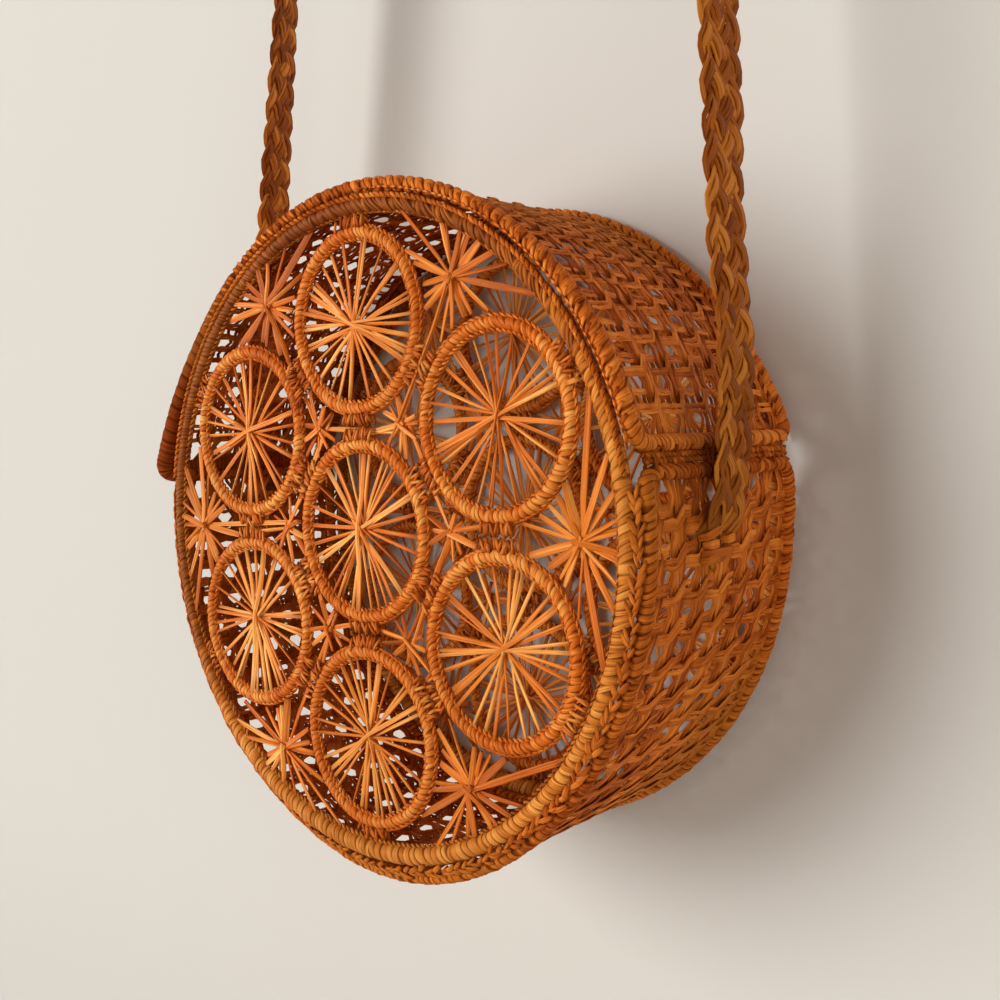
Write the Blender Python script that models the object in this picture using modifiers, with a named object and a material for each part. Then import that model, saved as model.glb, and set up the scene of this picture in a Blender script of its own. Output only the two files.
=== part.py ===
"""A round hand-woven palm purse with rosette panels, a hinged openwork lid and a braided strap.

The frame: +X to the right seen from the front, +Y to the back, +Z up. The origin is where the
strap hangs, at the inside top of its loop, and the middle of the drum lies straight below it.
"""

import math

import bmesh
import bpy
from mathutils import Vector

# Drum and panels, in metres
DRUM_DEPTH = 0.075  # from the middle of the front rim coil to the middle of the back one
RING_SPACING = 0.0633  # from the middle hub to each of the six hubs round it
RING_WIDTH = 0.0070  # radial width of a wrapped ring with its knots
RING_THICKNESS = 0.0044
RIM_COIL = 0.0052  # diameter of the wrapped coil round each panel
STITCH_GAP = 0.0003  # what the joining stitches leave between two neighbours
STRIP_WIDTH = 0.0020  # a pair of palm strips lying side by side
STRIP_THICKNESS = 0.0012
OUTER_STAR_INSET = 0.0119  # from the rim's inside to the hub of a star between two outer rings
RING_STRIPS = 14
OUTER_STAR_STRIPS = 10
INNER_STAR_STRIPS = 6
RINGS_ROUND = 6
FIRST_RING_ANGLE = math.radians(30)

# Side wall
EDGE_COIL = 0.0048  # diameter of the wrapped coils that edge the wall and the lid
EDGE_SETBACK = 0.0025  # how far the wall's edge coils lie behind the rim coils
WALL_THICKNESS = 0.0018
NET_STRIP = 0.0036  # width of the strips between the openings of wall and lid
NET_ROWS = 6
WALL_COLUMNS = 30
LID_COLUMNS = 24
MOUTH_ANGLE = math.radians(9.5)  # height of the mouth's coils over the middle, as an angle

# Lid
LID_SETBACK = 0.0010  # how far the lid's edge coils lie behind the rim coils
LACED_REACH = 0.0075  # from the coil of the hinge to the lid's own lower coil
LID_FREE_ANGLE = math.radians(167.8)
FLARE = 0.0090  # how far the free corners of the lid stand out
FLARE_START = math.radians(136)
DIP_ANGLE = math.radians(2)  # how much lower the free corners end than the middle
FLARE_POWER = 3

# Lacing that hinges the lid
LACING_STRAND = 0.0012
LACING_CLEARANCE = 0.0005
LACING_SHARES = (0.50, 0.81)  # of the way from mid-depth to the wall's edge coils

# Strap
STRAP_DROP = 0.560  # from the middle of the drum up to the inside of the strap's top
STRAP_WIDTH = 0.0190
STRAP_THICKNESS = 0.0040
RIGHT_FOOT_DEPTH = -0.0045  # of the strap's ends, before (-) or behind (+) mid-depth
LEFT_FOOT_DEPTH = 0.0055
STRAP_TOP_DEPTH = 0.0030
RIGHT_TURN = math.radians(8)  # how far each leg turns its outer face to the front half way up
LEFT_TURN = math.radians(30)
STRAP_END = 0.0095  # how far its ends reach below the middle of the drum
STRAP_RISE = 0.0260  # height over the middle up to which its legs run straight up
STRAP_SPLIT = 0.265  # height at which the flexing part of the right leg ends
PEG_RADIUS = 0.0120  # of the peg that it hangs from
STAND_OFF = 0.0025  # how far the right leg bends outwards round the hinge
STAND_OFF_TOP = 0.0850  # height over the middle at which that bend ends
RIGHT_BOW_POWER = 2.4
LEFT_BOW_POWER = 1.05
STRAP_SIDE_GAP = 0.0006

# Stitched bridges over the strap's ends
BRIDGE_HEIGHT = 0.0080
BRIDGE_THICKNESS = 0.0012
BRIDGE_FOOT = 0.0035
BRIDGE_TOP = 0.0010  # height of its upper edge over the middle of the drum

# How finely round things are drawn
RIM_SEGMENTS = 52
ARC_STEP = math.radians(6.5)
SIDES = 6
LEG_STEPS = 12
ARCH_STEPS = 8
LACING_STEPS = 4
FREE_COIL_STEPS = 8
SMOOTH_ANGLE = math.radians(50)

# Colours
DEEP_STRAW = (0.47, 0.17, 0.035)
BRIGHT_STRAW = (0.62, 0.24, 0.045)
LIGHT_STRAW = (0.80, 0.37, 0.10)
RIM_STRAW = (0.50, 0.25, 0.07)
STRAP_STRAW = (0.36, 0.14, 0.035)

# Places that follow from the sizes
HALF_DEPTH = DRUM_DEPTH / 2
FULL_TURN = 2 * math.pi
RING_OUTER = RING_SPACING / 2 - STITCH_GAP / 2
RING_MIDDLE = RING_OUTER - RING_WIDTH / 2
RING_INNER = RING_OUTER - RING_WIDTH
RIM_INNER = RING_SPACING + RING_OUTER + STITCH_GAP
RIM_RADIUS = RIM_INNER + RIM_COIL / 2
OUTER_STAR_RADIUS = RIM_INNER - OUTER_STAR_INSET
COIL_TO_COIL = RIM_COIL / 2 + STITCH_GAP + EDGE_COIL / 2
WALL_RADIUS = RIM_RADIUS + math.sqrt(COIL_TO_COIL**2 - EDGE_SETBACK**2)
LID_RADIUS = RIM_RADIUS + math.sqrt(COIL_TO_COIL**2 - LID_SETBACK**2)
WALL_EDGE = HALF_DEPTH - EDGE_SETBACK
LID_EDGE = HALF_DEPTH - LID_SETBACK
HINGE_X = WALL_RADIUS * math.cos(MOUTH_ANGLE)
HINGE_Z = WALL_RADIUS * math.sin(MOUTH_ANGLE)
LID_HINGE_ANGLE = MOUTH_ANGLE + 2 * math.asin(LACED_REACH / 2 / LID_RADIUS)
LACING_RADIUS = EDGE_COIL / 2 + LACING_CLEARANCE + LACING_STRAND / 2
STRAP_X = WALL_RADIUS + EDGE_COIL / 2 + STRAP_SIDE_GAP + STRAP_THICKNESS / 2
MIDDLE_Z = -STRAP_DROP


def material(name, colour, roughness):
    """A dyed palm finish."""
    made = bpy.data.materials.new(name)
    made.use_nodes = True
    shader = made.node_tree.nodes["Principled BSDF"]
    shader.inputs["Base Color"].default_value = (*colour, 1)
    shader.inputs["Roughness"].default_value = roughness
    shader.inputs["Metallic"].default_value = 0
    made.diffuse_color = (*colour, 1)
    return made


def clear_scene():
    """Removes whatever the file opened with."""
    for thing in list(bpy.data.objects):
        bpy.data.objects.remove(thing)


def add_part(name, data, finish, parent):
    """Links one piece of the purse under the empty that carries it."""
    piece = bpy.data.objects.new(name, data)
    if not data.materials:
        data.materials.append(finish)
    piece.parent = parent
    purse.objects.link(piece)
    return piece


def polar(radius, angle, depth):
    """A point on a circle round the drum's middle line."""
    return Vector((radius * math.cos(angle), depth, radius * math.sin(angle)))


# Rosettes and stars


def hub_radius(strips):
    """The hub on which so many strips stand side by side."""
    return STRIP_WIDTH / 2 / math.sin(math.pi / strips)


def hub_corners(bm, strips):
    """Top and bottom corners of the hub, one pair between each two strips."""
    step = FULL_TURN / strips
    corners = []
    for k in range(strips):
        point = polar(hub_radius(strips), (k + 0.5) * step, 0)
        lift = Vector((0, STRIP_THICKNESS / 2, 0))
        corners.append((bm.verts.new(point - lift), bm.verts.new(point + lift)))
    return corners


def add_strip(bm, near, far):
    """A four-sided strip between two pairs of corners at each end."""
    (near_a, near_b), (far_a, far_b) = near, far
    bm.faces.new((near_a[0], near_b[0], far_b[0], far_a[0]))
    bm.faces.new((near_a[1], near_b[1], far_b[1], far_a[1]))
    bm.faces.new((near_a[0], near_a[1], far_a[1], far_a[0]))
    bm.faces.new((near_b[0], near_b[1], far_b[1], far_b[0]))


def close_hub(bm, corners):
    """The hub's front and back."""
    bm.faces.new([pair[0] for pair in corners])
    bm.faces.new([pair[1] for pair in corners])


def finish_mesh(bm, name):
    """Turns every face outwards and shades the round ones smooth."""
    bmesh.ops.recalc_face_normals(bm, faces=bm.faces)
    mesh = bpy.data.meshes.new(name)
    bm.to_mesh(mesh)
    bm.free()
    mesh.shade_smooth()
    mesh.set_sharp_from_angle(angle=SMOOTH_ANGLE)
    return mesh


def rosette_mesh():
    """A wrapped ring whose flat inner side runs on as strips that cross at a hub."""
    bm = bmesh.new()
    step = FULL_TURN / RING_STRIPS
    half_tip = math.asin(STRIP_WIDTH / 2 / RING_INNER)
    stations = []
    for k in range(RING_STRIPS):
        for side in (-1, 1):
            angle = k * step + side * half_tip
            section = []
            for j in range(SIDES):
                turn = math.pi + (j - 0.5) * FULL_TURN / SIDES
                across = math.cos(turn) / math.cos(math.pi / SIDES) * RING_WIDTH / 2
                along = math.sin(turn) * RING_THICKNESS / 2
                section.append(bm.verts.new(polar(RING_MIDDLE + across, angle, along)))
            stations.append(section)
    for k, section in enumerate(stations):
        following = stations[(k + 1) % len(stations)]
        for j in range(SIDES):
            carries_strip = k % 2 == 0 and j == 0
            if not carries_strip:
                after = (j + 1) % SIDES
                bm.faces.new((section[j], section[after], following[after], following[j]))
    corners = hub_corners(bm, RING_STRIPS)
    for k in range(RING_STRIPS):
        low, high = stations[2 * k], stations[2 * k + 1]
        far = ((low[1], low[0]), (high[1], high[0]))
        add_strip(bm, (corners[k - 1], corners[k]), far)
    close_hub(bm, corners)
    return finish_mesh(bm, "rosette")


def reach(origin, angle, circles, rim):
    """How far a strip may run before an edge of it meets a ring or the rim."""
    direction = Vector((math.cos(angle), math.sin(angle)))
    aside = Vector((-direction.y, direction.x)) * STRIP_WIDTH / 2
    runs = []
    for start in (origin + aside, origin - aside):
        for centre, radius in circles:
            offset = centre - start
            along = offset.dot(direction)
            across = offset.length_squared - along**2
            if along > 0 and across < radius**2:
                runs.append(along - math.sqrt(radius**2 - across))
        along = start.dot(direction)
        runs.append(math.sqrt(rim**2 - start.length_squared + along**2) - along)
    return min(runs)


def ring_hubs():
    """The seven hubs: one in the middle and six round it."""
    hubs = [Vector((0, 0))]
    for k in range(RINGS_ROUND):
        angle = FIRST_RING_ANGLE + k * FULL_TURN / RINGS_ROUND
        hubs.append(Vector((math.cos(angle), math.sin(angle))) * RING_SPACING)
    return hubs


def star_mesh(name, strips, distance):
    """Strips from a hub at this distance along +X out to the rings and the rim round it."""
    circles = [(hub, RING_OUTER + STITCH_GAP) for hub in ring_hubs()]
    bm = bmesh.new()
    corners = hub_corners(bm, strips)
    origin = Vector((distance, 0))
    lift = Vector((0, STRIP_THICKNESS / 2, 0))
    for k in range(strips):
        angle = k * FULL_TURN / strips
        run = reach(origin, angle, circles, RIM_INNER - STITCH_GAP)
        tips = []
        for side in (-1, 1):
            tip = polar(run, angle, 0) + polar(STRIP_WIDTH / 2, angle + side * math.pi / 2, 0)
            tips.append((bm.verts.new(tip - lift), bm.verts.new(tip + lift)))
        add_strip(bm, (corners[k - 1], corners[k]), tips)
        bm.faces.new((tips[0][0], tips[0][1], tips[1][1], tips[1][0]))
    close_hub(bm, corners)
    bmesh.ops.translate(bm, verts=bm.verts, vec=(distance, 0, 0))
    return finish_mesh(bm, name)


def add_panel(side, depth, parent):
    """Rim, seven rosettes and twelve stars of one round panel."""
    bpy.ops.mesh.primitive_torus_add(
        major_radius=RIM_RADIUS,
        minor_radius=RIM_COIL / 2,
        major_segments=RIM_SEGMENTS,
        minor_segments=SIDES,
        rotation=(math.radians(90), 0, 0),
    )
    rim = bpy.context.object
    bpy.ops.object.transform_apply(location=False, rotation=True, scale=False)
    rim.data.shade_smooth()
    rim.name = rim.data.name = f"{side}_rim"
    rim.data.materials.append(rim_straw)
    for collection in list(rim.users_collection):
        collection.objects.unlink(rim)
    purse.objects.link(rim)
    rim.parent = parent
    rim.location.y = depth
    for k, hub in enumerate(ring_hubs()):
        where = "middle" if k == 0 else str(k)
        rosette = add_part(f"{side}_rosette_{where}", rosette_data, bright_straw, parent)
        rosette.location = (hub.x, depth, hub.y)
    for kind, data in (("outer", outer_star_data), ("inner", inner_star_data)):
        for k in range(RINGS_ROUND):
            star = add_part(f"{side}_{kind}_star_{k + 1}", data, light_straw, parent)
            star.location.y = depth
            star.rotation_euler.y = -k * FULL_TURN / RINGS_ROUND


# Coils


def add_coil(name, points, diameter, finish, parent, closed=False, resolution=1):
    """A wrapped coil along these points."""
    curve = bpy.data.curves.new(name, "CURVE")
    curve.dimensions = "3D"
    curve.bevel_depth = diameter / 2
    curve.bevel_resolution = resolution
    curve.use_fill_caps = not closed
    spline = curve.splines.new("POLY")
    spline.points.add(len(points) - 1)
    for slot, point in zip(spline.points, points):
        slot.co = (*point, 1)
        slot.radius = 1
    spline.use_cyclic_u = closed
    spline.use_smooth = True
    return add_part(name, curve, finish, parent)


def spread(low, high, steps):
    """Evenly spaced values, both ends included."""
    return [low + (high - low) * k / steps for k in range(steps + 1)]


def lid_point(angle, depth):
    """The middle of the lid's wall, which flares and dips towards its two free corners."""
    corner = abs(depth / LID_EDGE) ** FLARE_POWER
    along = (angle - LID_HINGE_ANGLE) / (LID_FREE_ANGLE - LID_HINGE_ANGLE)
    start = (FLARE_START - LID_HINGE_ANGLE) / (LID_FREE_ANGLE - LID_HINGE_ANGLE)
    bend = max(0, (along - start) / (1 - start)) ** 2
    radius = LID_RADIUS + FLARE * corner * bend
    return polar(radius, angle + DIP_ANGLE * corner * bend, depth)


# Openwork


def net_mesh(name, columns, rows, place):
    """A diagonal net of strips on the surface place(u, v), with u and v from 0 to 1."""
    bm = bmesh.new()
    knots = {}
    for i in range(columns + 1):
        for j in range(rows + 1):
            if (i + j) % 2 == 0:
                knots[i, j] = bm.verts.new(place(i / columns, j / rows))
    diamonds = []
    for i in range(1, columns):
        for j in range(1, rows):
            if (i + j) % 2 == 1:
                ring = (knots[i - 1, j], knots[i, j - 1], knots[i + 1, j], knots[i, j + 1])
                diamonds.append(bm.faces.new(ring))
    loose = [vert for vert in bm.verts if not vert.link_faces]
    bmesh.ops.delete(bm, geom=loose, context="VERTS")
    bmesh.ops.inset_individual(
        bm, faces=diamonds, thickness=NET_STRIP / 2, use_even_offset=True
    )
    bmesh.ops.delete(bm, geom=diamonds, context="FACES")
    return finish_mesh(bm, name)


def add_net(name, columns, place, finish, parent):
    """An openwork wall of real thickness."""
    wall = add_part(name, net_mesh(name, columns, NET_ROWS, place), finish, parent)
    thick = wall.modifiers.new("thickness", "SOLIDIFY")
    thick.thickness = WALL_THICKNESS
    thick.offset = 0
    thick.use_even_offset = False
    return wall


def wall_place(u, v):
    """The body's wall, from the hinge coil round the bottom to the coil at the mouth's far side."""
    seat = (EDGE_COIL / 2 + STITCH_GAP) / WALL_RADIUS
    first = MOUTH_ANGLE - seat
    last = -math.pi - MOUTH_ANGLE + seat
    edge = WALL_EDGE - EDGE_COIL / 2 - STITCH_GAP
    return polar(WALL_RADIUS, first + (last - first) * u, edge * (2 * v - 1))


def lid_place(u, v):
    """The lid's wall, from its laced coil over the top to the coil at its free end."""
    seat = (EDGE_COIL / 2 + STITCH_GAP) / LID_RADIUS
    first = LID_HINGE_ANGLE + seat
    last = LID_FREE_ANGLE - seat
    edge = LID_EDGE - EDGE_COIL / 2 - STITCH_GAP
    return lid_point(first + (last - first) * u, edge * (2 * v - 1))


def add_side_wall(parent):
    """The openwork wall of the body with the four coils that edge it."""
    add_net("side_wall", WALL_COLUMNS, wall_place, deep_straw, parent)
    seat = (EDGE_COIL / 2 + EDGE_COIL / 2 + STITCH_GAP) / WALL_RADIUS
    first = MOUTH_ANGLE - seat
    last = -math.pi - MOUTH_ANGLE + seat
    steps = round((first - last) / ARC_STEP)
    for side, depth in (("front", -WALL_EDGE), ("back", WALL_EDGE)):
        arc = [polar(WALL_RADIUS, angle, depth) for angle in spread(first, last, steps)]
        add_coil(f"wall_{side}_coil", arc, EDGE_COIL, deep_straw, parent)
    for name, angle in (("hinge_coil", MOUTH_ANGLE), ("mouth_coil", math.pi - MOUTH_ANGLE)):
        ends = [polar(WALL_RADIUS, angle, side * (WALL_EDGE + EDGE_COIL / 2)) for side in (-1, 1)]
        add_coil(name, ends, EDGE_COIL, deep_straw, parent)


def add_lid(parent):
    """The openwork lid with the four coils that edge it."""
    add_net("lid_band", LID_COLUMNS, lid_place, deep_straw, parent)
    seat = (EDGE_COIL + STITCH_GAP) / LID_RADIUS
    first = LID_HINGE_ANGLE + seat
    last = LID_FREE_ANGLE - seat
    steps = round((last - first) / ARC_STEP)
    for side, depth in (("front", -LID_EDGE), ("back", LID_EDGE)):
        arc = [lid_point(angle, depth) for angle in spread(first, last, steps)]
        add_coil(f"lid_{side}_coil", arc, EDGE_COIL, bright_straw, parent)
    reached = LID_EDGE + EDGE_COIL / 2
    laced = [polar(LID_RADIUS, LID_HINGE_ANGLE, side * reached) for side in (-1, 1)]
    add_coil("lid_laced_coil", laced, EDGE_COIL, deep_straw, parent)
    free = []
    for depth in spread(-LID_EDGE, LID_EDGE, FREE_COIL_STEPS):
        free.append(lid_point(LID_FREE_ANGLE, depth))
    add_coil("lid_free_coil", free, EDGE_COIL, deep_straw, parent)


def lacing_points(depth):
    """A long loop round the hinge coil and the lid's laced coil, seen from the hinge axis."""
    laced = polar(LID_RADIUS, LID_HINGE_ANGLE, 0) - polar(WALL_RADIUS, MOUTH_ANGLE, 0)
    lean = math.atan2(laced.z, laced.x)
    points = []
    for centre, start in ((Vector((0, 0, 0)), lean + math.pi / 2), (laced, lean - math.pi / 2)):
        for angle in spread(start, start + math.pi, LACING_STEPS):
            points.append(centre + polar(LACING_RADIUS, angle, depth))
    return points


def add_lacing(parent):
    """Loops that tie the lid to the hinge coil and turn round it."""
    number = 0
    for side in (-1, 1):
        for share in LACING_SHARES:
            number += 1
            name = f"hinge_lacing_{number}"
            loop = lacing_points(side * share * WALL_EDGE)
            add_coil(name, loop, LACING_STRAND, light_straw, parent, closed=True, resolution=0)


# Strap


def leg_row(side, height):
    """Middle and width direction of one strap leg at a height over the drum's middle."""
    foot, turn, bow = legs[side]
    peg_height = STRAP_DROP - PEG_RADIUS
    top_x = PEG_RADIUS + STRAP_THICKNESS / 2
    share = max(0, (height - STRAP_RISE) / (peg_height - STRAP_RISE))
    depth = foot + (STRAP_TOP_DEPTH - foot) * share
    middle = Vector((side * (STRAP_X + (top_x - STRAP_X) * share**bow), depth, height))
    if side > 0 and 0 < height < STAND_OFF_TOP:
        middle.x += STAND_OFF * math.sin(math.pi * height / STAND_OFF_TOP) ** 2
    angle = turn * math.sin(math.pi * share)
    return middle, Vector((side * math.sin(angle), math.cos(angle), 0))


def leg_lean(bow):
    """How far a leg leans from upright where it reaches the peg."""
    top_x = PEG_RADIUS + STRAP_THICKNESS / 2
    return math.atan(bow * (STRAP_X - top_x) / (STRAP_DROP - PEG_RADIUS - STRAP_RISE))


def strap_mesh(name, path):
    """A flat ribbon along a path of middles and width directions, to be given its thickness."""
    bm = bmesh.new()
    rows = []
    for middle, width in path:
        across = width * STRAP_WIDTH / 2
        rows.append((bm.verts.new(middle - across), bm.verts.new(middle + across)))
    for lower, upper in zip(rows, rows[1:]):
        bm.faces.new((lower[0], lower[1], upper[1], upper[0]))
    return finish_mesh(bm, name)


def add_ribbon(name, mesh, thickness, finish, parent):
    """A flat band of real thickness, with the mesh as its middle surface."""
    ribbon = add_part(name, mesh, finish, parent)
    thick = ribbon.modifiers.new("thickness", "SOLIDIFY")
    thick.thickness = thickness
    thick.offset = 0
    thick.use_even_offset = True
    return ribbon


def add_strap(parent):
    """One braid from side to side over the peg, with the part of the right leg that the lid bends."""
    flexing = []
    for height in spread(-STRAP_END, STRAP_SPLIT, LEG_STEPS):
        flexing.append(leg_row(1, height))
    strap = strap_mesh("strap_right_leg", flexing)
    add_ribbon("strap_right_leg", strap, STRAP_THICKNESS, strap_straw, parent)

    right_lean = leg_lean(RIGHT_BOW_POWER)
    left_lean = leg_lean(LEFT_BOW_POWER)
    turn_radius = PEG_RADIUS + STRAP_THICKNESS / 2
    peg = Vector((0, STRAP_TOP_DEPTH, STRAP_DROP - PEG_RADIUS))
    top_height = STRAP_DROP - PEG_RADIUS - turn_radius
    path = []
    for height in spread(STRAP_SPLIT + STITCH_GAP, top_height, LEG_STEPS):
        path.append(leg_row(1, height))
    for angle in spread(right_lean, math.pi - left_lean, ARCH_STEPS):
        path.append((peg + polar(turn_radius, angle, 0), Vector((0, 1, 0))))
    for height in spread(top_height, -STRAP_END, LEG_STEPS):
        path.append(leg_row(-1, height))
    add_ribbon("strap", strap_mesh("strap", path), STRAP_THICKNESS, strap_straw, parent)


def bridge_mesh(name, side):
    """The bridge's outline, from one foot on the wall over the strap to the other foot."""
    foot_x = WALL_RADIUS + WALL_THICKNESS / 2 + STITCH_GAP + BRIDGE_THICKNESS / 2
    over_x = STRAP_X + STRAP_THICKNESS / 2 + STITCH_GAP + BRIDGE_THICKNESS / 2
    foot_depth = legs[side][0]
    clear = STRAP_WIDTH / 2 + STITCH_GAP + BRIDGE_THICKNESS / 2
    outline = []
    for end, outwards in ((-1, True), (1, False)):
        shoulder = (over_x, foot_depth + end * clear)
        hip = (foot_x, foot_depth + end * clear)
        toe = (foot_x, foot_depth + end * (clear + BRIDGE_FOOT))
        outline += [toe, hip, shoulder] if outwards else [shoulder, hip, toe]
    bm = bmesh.new()
    rows = []
    for x, y in outline:
        low = bm.verts.new((side * x, y, BRIDGE_TOP - BRIDGE_HEIGHT))
        high = bm.verts.new((side * x, y, BRIDGE_TOP))
        rows.append((low, high))
    for here, there in zip(rows, rows[1:]):
        bm.faces.new((here[0], here[1], there[1], there[0]))
    return finish_mesh(bm, name)


def add_bridges(parent):
    """The stitched strips that hold the strap's two ends to the wall."""
    for name, side in (("strap_bridge_right", 1), ("strap_bridge_left", -1)):
        add_ribbon(name, bridge_mesh(name, side), BRIDGE_THICKNESS, bright_straw, parent)


legs = {
    1: (RIGHT_FOOT_DEPTH, RIGHT_TURN, RIGHT_BOW_POWER),
    -1: (LEFT_FOOT_DEPTH, LEFT_TURN, LEFT_BOW_POWER),
}

clear_scene()
purse = bpy.data.collections.new("purse")
bpy.context.scene.collection.children.link(purse)

deep_straw = material("dyed palm, deep", DEEP_STRAW, 0.75)
bright_straw = material("dyed palm, bright", BRIGHT_STRAW, 0.6)
light_straw = material("palm strips", LIGHT_STRAW, 0.55)
rim_straw = material("rim wrap", RIM_STRAW, 0.6)
strap_straw = material("braid", STRAP_STRAW, 0.75)

drum = bpy.data.objects.new("drum_middle", None)
drum.location = (0, 0, MIDDLE_Z)
purse.objects.link(drum)
hinge = bpy.data.objects.new("lid_hinge_axis", None)
hinge.parent = drum
hinge.location = (HINGE_X, 0, HINGE_Z)
purse.objects.link(hinge)
lid_frame = bpy.data.objects.new("lid_middle", None)
lid_frame.parent = hinge
lid_frame.location = (-HINGE_X, 0, -HINGE_Z)
purse.objects.link(lid_frame)

rosette_data = rosette_mesh()
outer_star_data = star_mesh("outer star", OUTER_STAR_STRIPS, OUTER_STAR_RADIUS)
inner_star_data = star_mesh("inner star", INNER_STAR_STRIPS, RING_SPACING / math.sqrt(3))

add_panel("front", -HALF_DEPTH, drum)
add_panel("back", HALF_DEPTH, drum)
add_side_wall(drum)
add_lid(lid_frame)
add_lacing(hinge)
add_strap(drum)
add_bridges(drum)
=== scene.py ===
import math
from math import pi, radians

import bpy
import numpy as np
from mathutils import Euler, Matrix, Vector
from numpy import arange, array, clip, concatenate as join, cos, linspace, sin, stack
from numpy.random import default_rng


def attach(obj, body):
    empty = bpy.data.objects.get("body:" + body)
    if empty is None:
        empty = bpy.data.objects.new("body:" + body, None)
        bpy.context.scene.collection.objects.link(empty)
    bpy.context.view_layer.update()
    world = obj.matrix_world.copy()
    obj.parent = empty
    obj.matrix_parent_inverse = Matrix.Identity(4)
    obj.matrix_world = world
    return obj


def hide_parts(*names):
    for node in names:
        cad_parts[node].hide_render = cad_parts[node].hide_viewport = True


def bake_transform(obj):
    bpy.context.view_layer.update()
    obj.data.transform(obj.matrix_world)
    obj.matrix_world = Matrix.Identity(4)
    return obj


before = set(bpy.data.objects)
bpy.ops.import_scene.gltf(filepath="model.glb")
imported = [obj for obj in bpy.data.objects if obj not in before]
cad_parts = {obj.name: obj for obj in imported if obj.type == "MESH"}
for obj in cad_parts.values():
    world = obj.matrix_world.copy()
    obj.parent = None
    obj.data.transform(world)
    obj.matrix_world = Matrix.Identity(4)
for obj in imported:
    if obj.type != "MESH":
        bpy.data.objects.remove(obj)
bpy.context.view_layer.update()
print("frame loaded:", len(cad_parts), "nodes")


def addObject(name, data):
    made = bpy.data.objects.new(name, data)
    bpy.context.scene.collection.objects.link(made)
    return made


class Values(dict):
    # a dictionary whose values are also read with a dot
    __getattr__ = dict.__getitem__


# Sizes that several pieces share, in metres; angles seen from the front, 0 at the right, 90 degrees on top
drum = Values(
    middle=-0.56,  # height of the drum's middle line
    halfDepth=0.0375,  # from mid-depth to the middle of a rim coil
    ringSpacing=0.0633, rimRadius=0.0977, wallRadius=0.102373, wallEdge=0.035, lidRadius=0.102905,
    lidEdge=0.0365, coilRadius=0.0024,
    coilSeat=0.0012,  # how deep the net's ends reach into a coil
    mouthAngle=radians(9.5), lidHingeAngle=radians(13.677), lidFreeAngle=radians(167.8),
)


# Lines and surfaces


def unit(v):
    # every vector divided by its own length
    return v / np.maximum(np.linalg.norm(v, axis=-1, keepdims=True), 1e-12)


def bell(x, middle, width, power=2):
    # exp(-((x - middle) / width)^power)
    return np.exp(-(((x - middle) / width) ** power))


def spoke(angle):
    # directions in a panel's plane: (cos a, sin a)
    return stack([cos(angle), sin(angle)], -1)


def inDrum(x, depth, z):
    # points from x, depth and the height over the drum's middle line
    return stack(np.broadcast_arrays(x, depth, z + drum.middle), -1)


def onRound(radius, angle, depth):
    # a round surface: points (radius * cos a, depth, radius * sin a), outward directions (cos a, 0, sin a)
    out = stack([cos(angle), 0 * angle, sin(angle)], -1)
    return inDrum(radius * out[..., 0], depth, radius * out[..., 2]), out


def wander(rng, share, waves=6):
    # slow chance: a sum of whole sine waves of the share, weaker as they get shorter
    total = np.zeros(np.shape(share))
    for k in range(1, waves + 1):
        total = total + rng.normal() / math.sqrt(k) * sin(2 * pi * (k * share + rng.uniform()))
    return total / 2


def makePath(points, out, loop=False):
    # a line of points with an outward direction at each, measured in metres from its start
    at = join([[0], np.cumsum(np.linalg.norm(np.diff(points, axis=0), axis=1))])
    run = np.gradient(points, at, axis=0)
    if loop:
        run[0] = run[-1] = points[1] - points[-2]
    return Values(points=points, out=out, run=unit(run), at=at, length=at[-1], loop=loop)


def along(path, s):
    # the path's point, outward and sideways directions at s metres
    s = np.mod(s, path.length) if path.loop else clip(s, 0, path.length)

    def read(rows):
        return stack([np.interp(s, path.at, rows[:, i]) for i in range(3)], -1)

    run = unit(read(path.run))
    side = unit(np.cross(run, read(path.out)))
    return read(path.points), np.cross(side, run), side


def circlePath(centre, radius, depth, first=0.0, last=2 * pi, tilt=0.0):
    # a circle or an arc round (x, z) at one depth, faced outwards and tilted to the depth axis
    angle = linspace(first, last, 361)
    out = onRound(1, angle, 0)[1]
    points = radius * out + array([centre[0], depth, centre[1] + drum.middle])
    facing = math.cos(tilt) * out + math.sin(tilt) * array([0, 1, 0])
    return makePath(points, facing, abs(last - first) > 6.28)


# Strands, coils and twines


def newPiece():
    return {"points": [], "faces": [], "fibre": [], "tint": [], "paintedShade": [], "count": 0}


def addTubes(piece, points, fibre, tint, paintedShade, loop=False):
    # points[strand, station, corner] joined by quads along and round each strand; capped if it is no loop
    shape = strands, stations, corners = points.shape[:3]
    index = arange(strands * stations * corners).reshape(shape) + piece["count"]
    here, there = (index, np.roll(index, -1, 1)) if loop else (index[:, :-1], index[:, 1:])
    faces = [stack([here, np.roll(here, -1, 2), np.roll(there, -1, 2), there], -1).reshape(-1, 4)]
    if not loop:
        first, last = index[:, 0], index[:, -1]
        for j in range(1, corners - 2, 2):
            faces.append(stack([first[:, 0], first[:, j + 2], first[:, j + 1], first[:, j]], -1))
            faces.append(stack([last[:, 0], last[:, j], last[:, j + 1], last[:, j + 2]], -1))
    piece["points"].append(points.reshape(-1, 3))
    piece["faces"].append(join(faces))
    piece["fibre"].append(np.broadcast_to(fibre, (*shape, 3)).reshape(-1, 3))
    for key, values in (("tint", tint), ("paintedShade", paintedShade)):
        piece[key].append(np.broadcast_to(values, shape).reshape(-1))
    piece["count"] += index.size


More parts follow.
